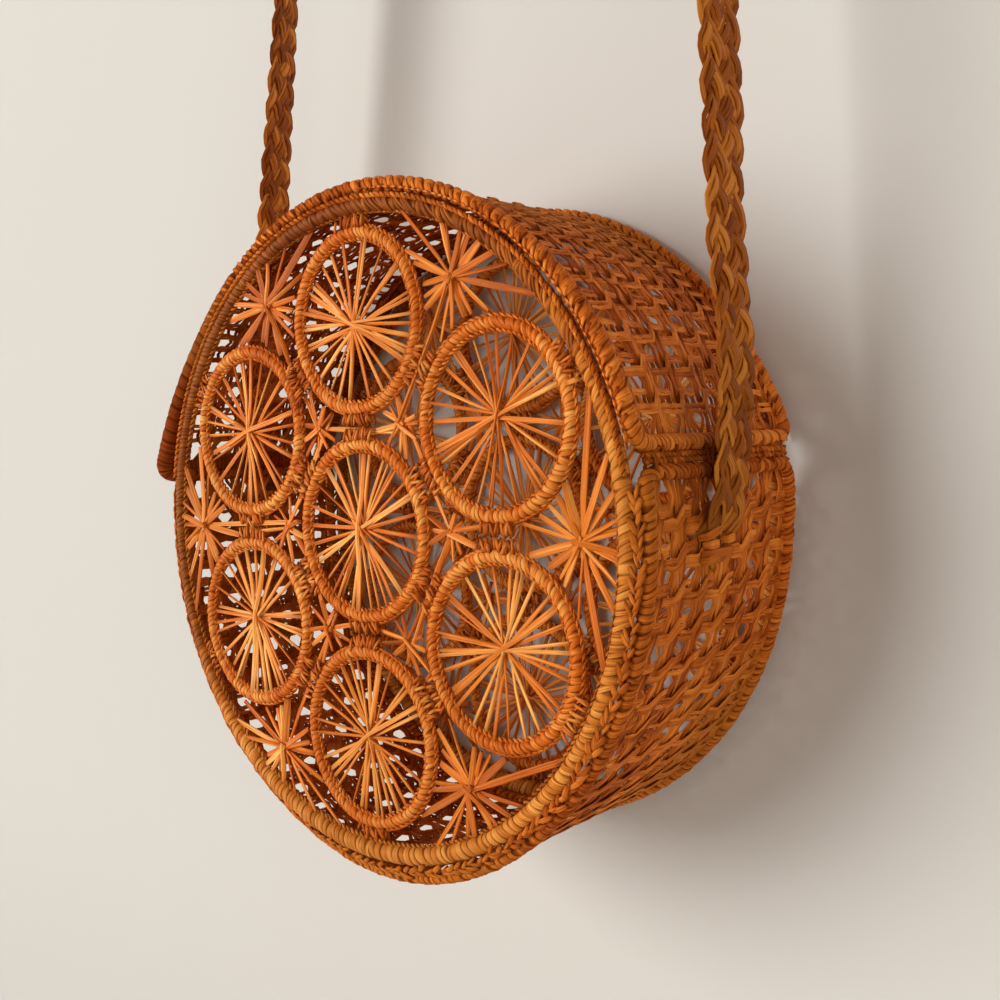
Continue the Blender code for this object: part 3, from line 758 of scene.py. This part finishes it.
def makeSeam(side, facing, seed):
    # stitches that start at either edge of the seam in turn and run slanting to its middle line:
    # aside = reach * (1 - t)^0.8 - 0.0004, lift = 0.0006 * sin(pi * t)
    rng = default_rng(seed)
    look = seamLook
    angle = linspace(wallEnds[0] - look.inset, wallEnds[1] + look.inset, 361)
    out = onRound(1, angle, 0)[1]
    sag = 0.7 * wallSag(angle, np.full(361, facing * drum.wallEdge))
    points = (look.radius + sag)[:, None] * out + array([0, facing * look.depth, drum.middle])
    path = makePath(points, math.cos(look.lean) * out + math.sin(look.lean) * array([0, facing, 0]))
    count = int((path.length - look.length) / look.pitch)
    start = arange(count) * look.pitch + rng.normal(0, 0.00045, count)
    t = array([0, 0.15, 0.4, 0.65, 0.88, 1.0])
    hand = np.where(arange(count) % 2, 1.0, -1.0)[:, None]
    length = look.length * rng.uniform(0.65, 1.2, count)
    middle, out, across = along(path, start[:, None] + length[:, None] * t)
    aside = look.reach * (1 - t) ** 0.8 * rng.uniform(0.6, 1.3, (count, 1)) - 0.0004
    aside = hand * (aside + rng.normal(0, 0.0003, (count, 1)))
    lift = 0.0006 * sin(pi * t) + rng.normal(0, 0.00015, (count, 1))
    middles = middle + aside[..., None] * across + lift[..., None] * out
    wide = look.half * rng.uniform(0.65, 1.3, (count, 1)) * array([0.55, 0.9, 1.05, 1.0, 0.75, 0.4])
    tint = rng.uniform(0.25, 0.75, (count, 1))
    piece = newPiece()
    # painted shade at both ends, where the stitch goes down into the seam
    addStrands(piece, middles, out, wide, look.thick, tint, rng, 8, 2.6, [0.8, 0.3, 0, 0, 0.4, 0.9])
    # under the lid a plain twine runs along the rim's shoulder instead
    mouth = drum.mouthAngle
    shoulder = circlePath((0, 0), 0.0995, facing * 0.0391, mouth, pi - mouth, facing * 0.76)
    addTwine(piece, shoulder, shoulderLook, rng)
    finishPiece(f"{side}_seam_stitch", piece, "deep palm")


makeSeam("front", -1, 310)
makeSeam("back", 1, 320)
print("side wall made")


# Lid: the same openwork between its own coils, with a thin reed along the edges

lidWeaveLook = Values(
    weaveLook, rows=27, span=radians(151.1), slope=1, waist=0.26, spread=0.2, stray=0.16,
    weftHalf=0.00078, weftApart=0.00055, sway=0.0021, dive=6, steep=4.5,
)


def lidPitch(share):
    # lobes on the two long edges, closer wraps across the two ends
    edge = (share < 0.4) | ((share > 0.505) & (share < 0.895))
    return np.where(edge, np.where((share > 0.27) & (share < 0.63), 0.42, 1.1), 0.48)


def lidRough(share):
    # flat, even wraps across the ends and on the part near the free end
    return np.where((share > 0.28) & (share < 0.62), 0.22, np.where(share > 0.895, 0.6, 1.0))


lidLook = Values(
    half=(0.0024, 0.0023), pitch=0.0031, uneven=0.18, slant=0.0012, bulge=0.24, corners=14,
    tint=(0.2, 0.85), corner=0.005, low=0.42,
    lowAt=lambda share: clip(2.2 - abs(share - 0.45) / 0.08, 0, 1),  # thicker round the free end
    toneAt=lambda share: -1.1 * clip(2.6 - abs(share - 0.45) / 0.1, 0, 1),  # painted shade: darker there, where the free end lies in shade
    widthAt=lidPitch, roughAt=lidRough,
)
innerTwine = Values(lay=0.0062, radius=0.00065, half=(0.00065, 0.0004), tint=(0.2, 0.8))
reedLook = Values(last=radians(88), dashes=52, half=(0.0003, 0.00036), tint=0.18)


def lidEdgePath(depth, first, last, lift=0.0, aside=0.0):
    points, out = lidPlace(linspace(first, last, 361), np.full(361, depth))
    return makePath(points + lift * out + array([0, aside, 0]), out)


def makeLidEdge(side, facing, rng):
    piece = newPiece()
    depth = facing * drum.lidEdge
    first, last = drum.lidHingeAngle, drum.lidFreeAngle
    # a bridging stitch over the coil's flank at each groove between two lobes, an arc of 1.25 radians
    path = lidEdgePath(depth, first + 0.05, last - 0.05)
    count = round(path.length / lidLook.pitch)
    t = array([0, 0.3, 0.65, 1.0])
    at = (arange(count)[:, None] + 0.5) * path.length / count + (t - 0.5) * 0.002
    at = at + rng.normal(0, 0.0003, (count, 1))
    middle, out, across = along(path, at)
    turn = pi / 2 + 0.75 - 1.25 * t
    ring = cos(turn)[:, None] * out + facing * sin(turn)[:, None] * array([0, 1.0, 0])
    tint = rng.uniform(0.2, 0.9, (count, 1))
    stitch = middle + 0.00242 * ring
    # painted shade at both ends, where the stitch goes round the coil
    addStrands(piece, stitch, ring, 0.0006, 0.0003, tint, rng, 6, 2.2, [0.4, 0, 0, 0.5])
    # a hollow row of twine on the inner side
    inner = lidEdgePath(depth, first + 0.06, last - 0.06, 0.0004, -facing * 0.0028)
    addTwine(piece, inner, innerTwine, rng)
    finishPiece(f"lid_{side}_stitches", piece, "deep palm", "lid")
    # the reed shows in dashes between the wraps: tint + 0.3 * sin(2 pi * dashes * share)
    reed = newPiece()
    edge = lidEdgePath(depth, first - 0.01, reedLook.last, -0.0011, facing * 0.0024)
    share = linspace(0, 1, 320)
    dash = sin(2 * pi * (share * reedLook.dashes + 0.6 * wander(rng, share, 12)))
    middle, out, across = along(edge, share * edge.length)
    middles = (middle + 0.00018 * wander(rng, share, 20)[:, None] * out)[None]
    wide, thick = reedLook.half
    wide = wide * clip((1 - share) * 14, 0.15, 1) * (1 + 0.3 * dash)
    tint = reedLook.tint + 0.3 * dash
    # painted shade on the darker half of each dash, where the reed lies under the wraps
    addStrands(reed, middles, array([0, facing, 0]), wide, thick, tint, rng, 8, 2.4, clip(-dash, 0, 0.8))
    finishPiece(f"lid_{side}_reed", reed, "palm strips", "lid")


names = ("lid_weave", "lid_border_wrap")
nodes = ["lid_band", "lid_front_coil", "lid_back_coil", "lid_laced_coil", "lid_free_coil"]
ends = (drum.lidHingeAngle, drum.lidFreeAngle)
size = (drum.lidRadius, drum.lidEdge)
rng = makeBand(names, nodes, "lid", lidPlace, ends, *size, lidWeaveLook, lidLook, "bright_palm", 400)
makeLidEdge("front", -1, rng)
makeLidEdge("back", 1, rng)


# Lacing: short stitches that hold the lid's lower coil to the hinge coil, outside and inside

lacingLook = Values(stitches=12, radius=0.0024, half=(0.00052, 0.00032), inset=0.0035)
# the twine gets painted shade all over, for the gap between the coils it sits in
lacingTwine = Values(lay=0.004, radius=0.0006, half=(0.0007, 0.00045), tint=(0, 0.8), paintedShade=0.3)


def makeLacing():
    # each stitch joins an arc of 40 degrees on one coil's flank to one on the other's
    rng = default_rng(500)
    look = lacingLook
    low = drum.wallRadius * array([math.cos(drum.mouthAngle), math.sin(drum.mouthAngle)])
    high = drum.lidRadius * array([math.cos(drum.lidHingeAngle), math.sin(drum.lidHingeAngle)])
    lean = math.atan2(*(high - low)[::-1])
    turn = np.radians([112, 132, 152])
    count = look.stitches
    piece = newPiece()
    for hand in (-1.0, 1.0):
        upper = high + look.radius * spoke(lean + hand * turn)
        lower = low - look.radius * spoke(lean - hand * turn[::-1])
        line = join([upper, lower])
        away = line - (low + high) / 2
        depth = linspace(-1, 1, count) * (drum.wallEdge - look.inset) + rng.normal(0, 0.0011, count)
        slant = rng.choice([-1.0, 1.0], count)[:, None] * linspace(-0.0013, 0.0013, len(line))
        x = line[:, 0] + hingeSwell(0.2, depth[:, None])
        middles = inDrum(x, depth[:, None] + slant, line[:, 1])
        out = unit(stack([away[:, 0], 0 * away[:, 0], away[:, 1]], -1))
        tint = rng.uniform(0, 0.7, (count, 1))
        wide = look.half[0] * rng.uniform(0.7, 1.5, (count, 1))
        # painted shade at the ends and the middle, where the stitch goes round and between the coils
        dark = [0.6, 0.2, 0.3, 0.3, 0.2, 0.6]
        addStrands(piece, middles, out, wide, look.half[1], tint, rng, 6, 2.4, dark)
    # knotted twine fills the gap between the two coils
    radius = (drum.wallRadius + drum.lidRadius) / 2
    angle = (drum.mouthAngle + drum.lidHingeAngle) / 2
    depth = linspace(-0.034, 0.034, 41)
    between, out = onRound(radius, np.full(41, angle), depth)
    between = between + hingeSwell(0.2, depth[:, None]) * array([1, 0, 0])
    for lift in (-0.0008, 0.0008):
        addTwine(piece, makePath(between + array([0.0004, 0, lift]), out), lacingTwine, rng)
    nodes = [f"hinge_lacing_{k}" for k in range(1, 5)]
    made = finishPiece("hinge_lacing", piece, "deep palm", None, nodes)
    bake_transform(made)


makeLacing()
print("lid made")


# Strap: a flat braid of five strands of three strips each, from side to side over the peg

strapLook = Values(
    drop=0.56, x=0.107373, rise=0.026, peg=0.012, thick=0.004, topDepth=0.003,
    feet={1: -0.0045, -1: 0.0055},  # depth of the right (1) and left (-1) end
    bow={1: 2.6, -1: 1.05}, turn={1: radians(8), -1: radians(30)}, end=0.0095,
    standOff=0.0025,  # how far the right leg bends outwards round the hinge
    standOffTop=0.085, strands=5, strips=3, period=0.049,
    samples=27,  # per period
    halfWidth=0.0071,  # from the braid's middle to the middle of its outermost strand
    weave=0.00085, stripHalf=0.00108, stripThick=0.00026, stripGap=0.0015,
    pillow=0.00045,  # how much lower a strand's outer strips lie than its middle
    dive=0.0062,  # how deep the ends go down through the net
    bend=(0.107, 0.008, 0.032, 0.257),  # x and heights of the right leg's bend: start, turn and end
)


def strapPath():
    # legs: x = foot + (top - foot) * share^bow, turned by turn * sin(pi * share); between them over the peg
    look = strapLook
    pegHeight = look.drop - look.peg
    topX = look.peg + look.thick / 2

    def leg(side, height):
        share = clip((height - look.rise) / (pegHeight - look.rise), 0, None)
        foot, bow = look.feet[side], look.bow[side]
        depth = foot + (look.topDepth - foot) * share
        angle = look.turn[side] * sin(pi * share)
        bend = max(side, 0) * look.standOff * sin(pi * clip(height / look.standOffTop, 0, 1)) ** 2
        points = inDrum(side * (look.x + (topX - look.x) * share**bow) + bend, depth, height)
        return points, stack([side * sin(angle), cos(angle), 0 * angle], -1)

    def lean(bow):
        return math.atan(bow * (look.x - topX) / (pegHeight - look.rise))

    up = linspace(-look.end, pegHeight - topX, 260)
    angle = linspace(lean(look.bow[1]), pi - lean(look.bow[-1]), 24)
    arch = inDrum(topX * cos(angle), look.topDepth, pegHeight + topX * sin(angle))
    right, left = leg(1, up), leg(-1, up[::-1])
    points = join([right[0], arch, left[0]])
    width = join([right[1], 0 * arch + array([0, 1.0, 0]), left[1]])
    return makePath(points, unit(np.cross(width, np.gradient(points, axis=0))))


def strapStrips(length, s):
    # braid: aside = a triangle wave rounded at its turns, height = weave * sin((strands - 1) * phase),
    # each strand's strips side by side across its own run, lower by pillow * (place / half)^2 on the outside;
    # at both ends they part into two groups and dive through the net
    look = strapLook
    phase = 2 * pi * (s / look.period + arange(look.strands)[:, None] / look.strands)
    aside = look.halfWidth * (np.arcsin(0.99 * sin(phase)) / math.asin(0.99))
    height = look.weave * sin((look.strands - 1) * phase)
    slope = np.gradient(aside, s, axis=1)
    turned = np.sqrt(1 + slope**2)
    place = ((arange(look.strips) - (look.strips - 1) / 2) * look.stripGap)[:, None, None]
    # a strip beside the strand's middle is moved square to the strand's run
    near = s + place * (-slope / turned)
    side = aside + place * (1 / turned)
    upper = clip(height / look.weave * 1.6, -1, 1)
    lift = height - upper * look.pillow * (place / place[-1]) ** 2
    fan = clip((0.021 - np.minimum(s, length - s)) / 0.014, 0, 1) ** 2
    side = side + 0.0012 * np.tanh(side / 0.002) * fan
    lift = lift * (1 - 0.5 * fan) - look.dive * fan
    return [rows.reshape(-1, len(s)) for rows in (near, side, lift)]


def makeStrap():
    look = strapLook
    rng = default_rng(600)
    path = strapPath()
    s = arange(0, path.length, look.period / look.samples)
    near, side, lift = strapStrips(path.length, s)
    count = len(near)
    jitter = stack([wander(rng, s / path.length, 40) for _ in range(count)])
    middle, out, across = along(path, near)
    aside, lift = side + 0.00022 * jitter, lift + 0.00012 * jitter
    middles = middle + aside[..., None] * across + lift[..., None] * out
    wide = look.stripHalf * rng.uniform(0.85, 1.15, (count, 1)) * np.ones(len(s))
    tint = rng.uniform(0.1, 0.8, (count, 1)) + 0.18 * jitter
    # cut where the leg's bending part turns and ends
    height = along(path, s)[0][:, 2] - drum.middle
    x, start, *turns = look.bend
    low, high = [int(np.searchsorted(height[: len(s) // 3], turn)) for turn in turns]
    lengths = [
        ("strap_right_foot", 0, low, ["strap_right_leg"], ("bag", "lid", start, height[low])),
        ("strap_right_bend", low, high, [], ("lid", "bag", height[low], height[high])),
        ("strap_braid", high, len(s), ["strap"], None),
    ]
    for name, first, last, nodes, blend in lengths:
        part = (slice(None), slice(first, last + 1))
        piece = newPiece()
        own = default_rng(601)  # the same for all three, so that their streaks go on
        addStrands(piece, middles[part], out[part], wide[part], look.stripThick, tint[part], own, 8, 2.8)
        made = finishPiece(name, piece, "braided palm", None if blend else "bag", nodes)
        if blend:
            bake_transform(made)


# One number for each of a bridge's six strips: height, middle beside the foot's, half length
bridgeLook = Values(
    rows=(0.0004, -0.0016, -0.0026, -0.005, -0.0042, -0.0064),
    middles=(-0.0046, 0.004, -0.0044, -0.001, 0.0062, -0.005),
    reaches=(0.005, 0.0026, 0.0032, 0.0074, 0.0026, 0.004), half=(0.0009, 0.0013), thick=0.00024,
    lift=(0.001, 0.0018),  # over the wall at the ends, and more in the middle
)


def makeBridge(side, word, seed):
    # strips across the strap's end: flat in the middle, down to the wall at both ends by a smooth step
    rng = default_rng(seed)
    look = bridgeLook
    rows, middles, reaches = [array(look[key])[:, None] for key in ("rows", "middles", "reaches")]
    t = linspace(-1, 1, 15)
    ease = clip((1 - abs(t)) / 0.35, 0, 1)
    lift = look.lift[0] + look.lift[1] * ease * ease * (3 - 2 * ease)
    z = drum.middle + rows + rng.normal(0, 0.0006, (len(rows), 1)) * t
    depth = strapLook.feet[side] + middles + reaches * t
    middles = stack(np.broadcast_arrays(side * (drum.wallRadius + lift), depth, z), -1)
    piece = newPiece()
    tint = rng.uniform(0.3, 0.9, (len(rows), 1))
    wide = rng.uniform(*look.half, (len(rows), 1)) * (1 - 0.3 * abs(t) ** 4)
    # painted shade at both ends, where the strips go down to the wall
    dark = 0.5 * abs(t) ** 4
    addStrands(piece, middles, array([side, 0, 0.0]), wide, look.thick, tint, rng, 8, 3.0, dark)
    nodes = [f"strap_bridge_{word}"]
    finishPiece(f"strap_{word}_stitches", piece, "deep palm", nodes=nodes, crease=50)


makeStrap()
makeBridge(1, "right", 610)
makeBridge(-1, "left", 611)
print("strap made")


# Pale wall behind the purse with a sweep down to a floor

stageLook = Values(
    wall=0.0408, floor=-0.95, bend=0.25, reach=3.0, colour=(0.625, 0.625, 0.605),
    through=0.16,  # share of the light from behind that the wall lets through
)


def makeStage():
    # a profile carried along x: straight wall, quarter circle of radius bend, straight floor
    look = stageLook
    turn = linspace(0, pi / 2, 17)
    bendY = look.wall - look.bend + look.bend * cos(turn)
    bendZ = look.floor + look.bend - look.bend * sin(turn)
    y = join([[look.wall], bendY, [look.wall - look.reach]])
    z = join([[look.reach], bendZ, [look.floor]])
    rows = stack([stack([0 * y + side * look.reach, y, z], -1) for side in (-1, 1)], 1)
    faces = [(2 * k, 2 * k + 2, 2 * k + 3, 2 * k + 1) for k in range(len(y) - 1)]
    mesh = bpy.data.meshes.new("wall_and_floor")
    mesh.from_pydata(rows.reshape(-1, 3).tolist(), [], faces)
    mesh.shade_smooth()
    made = addObject("wall_and_floor", mesh)
    finish = bpy.data.materials.new("painted wall")
    finish.use_nodes = True
    tree = finish.node_tree
    shader = tree.nodes["Principled BSDF"]
    place = newNode(tree, "TexCoord").outputs["Object"]
    dark = tuple(0.965 * c for c in look.colour)
    colour = mixColour(tree, noiseNode(tree, place, 3.0, 3.0), dark, look.colour)
    feed(shader, Base_Color=colour, Roughness=0.85, Specular_IOR_Level=0.2)
    addBump(tree, noiseNode(tree, place, 260.0, 3.0), 0.05, 0.0008)
    # the wall isn't there from behind, and it lets a part of the rear lamp's light through to the back panel
    behind = newNode(tree, "NewGeometry").outputs["Backfacing"]
    shadow = newNode(tree, "LightPath").outputs["Is Shadow Ray"]
    away = mathNode(tree, "MAXIMUM", behind, mathNode(tree, "MULTIPLY", shadow, look.through))
    mix = newNode(tree, "MixShader")
    clear = newNode(tree, "BsdfTransparent").outputs[0]
    for socket, value in zip(mix.inputs, (away, shader.outputs[0], clear)):
        plug(socket, value)
    feed(tree.nodes["Material Output"], Surface=mix.outputs[0])
    mesh.materials.append(finish)


makeStage()


# Light: a soft window from the left front, a weak fill, and a pale world

lampLook = Values(
    key=Values(at=(-4.17, -5.6, 0.294), size=5.04, power=585, colour=(1.0, 0.97, 0.92)),
    fill=Values(at=(2.2, -1.7, -0.3), size=2.0, power=19, colour=(1.0, 0.9, 0.8)),
    rear=Values(at=(0.6, 2.2, 0.2), size=1.6, power=50, colour=(1.0, 0.96, 0.9)),
)
worldLook = Values(light=(0.195, 0.138, 0.108), sky=(0.68, 0.665, 0.635))

target = Vector((0, 0, drum.middle))
for name, look in lampLook.items():
    lamp = bpy.data.lights.new(name, "AREA")
    lamp.shape = "DISK"
    lamp.size = look.size
    lamp.energy = look.power
    lamp.color = look.colour
    holder = addObject(name, lamp)
    holder.location = look.at
    holder.rotation_euler = (target - Vector(look.at)).to_track_quat("-Z", "Y").to_euler()

world = bpy.data.worlds.new("room light")
bpy.context.scene.world = world
world.use_nodes = True
tree = world.node_tree
ray = newNode(tree, "LightPath").outputs
mirrored = mathNode(tree, "MAXIMUM", ray["Is Glossy Ray"], ray["Is Transmission Ray"])
seen = mathNode(tree, "MAXIMUM", ray["Is Camera Ray"], mirrored)
feed(tree.nodes["Background"], Color=mixColour(tree, seen, worldLook.light, worldLook.sky))

cameraLook = Values(at=(0.2602, -0.2672, -0.5341), turn=(87.05, 1.74, 41.56), lens=40.94)
lens = bpy.data.cameras.new("camera")
lens.lens = cameraLook.lens
lens.sensor_width = 36
lens.clip_start = 0.01
camera = addObject("camera", lens)
camera.location = cameraLook.at
camera.rotation_euler = Euler([radians(v) for v in cameraLook.turn])
bpy.context.scene.camera = camera
bpy.context.scene.view_settings.view_transform = "Standard"
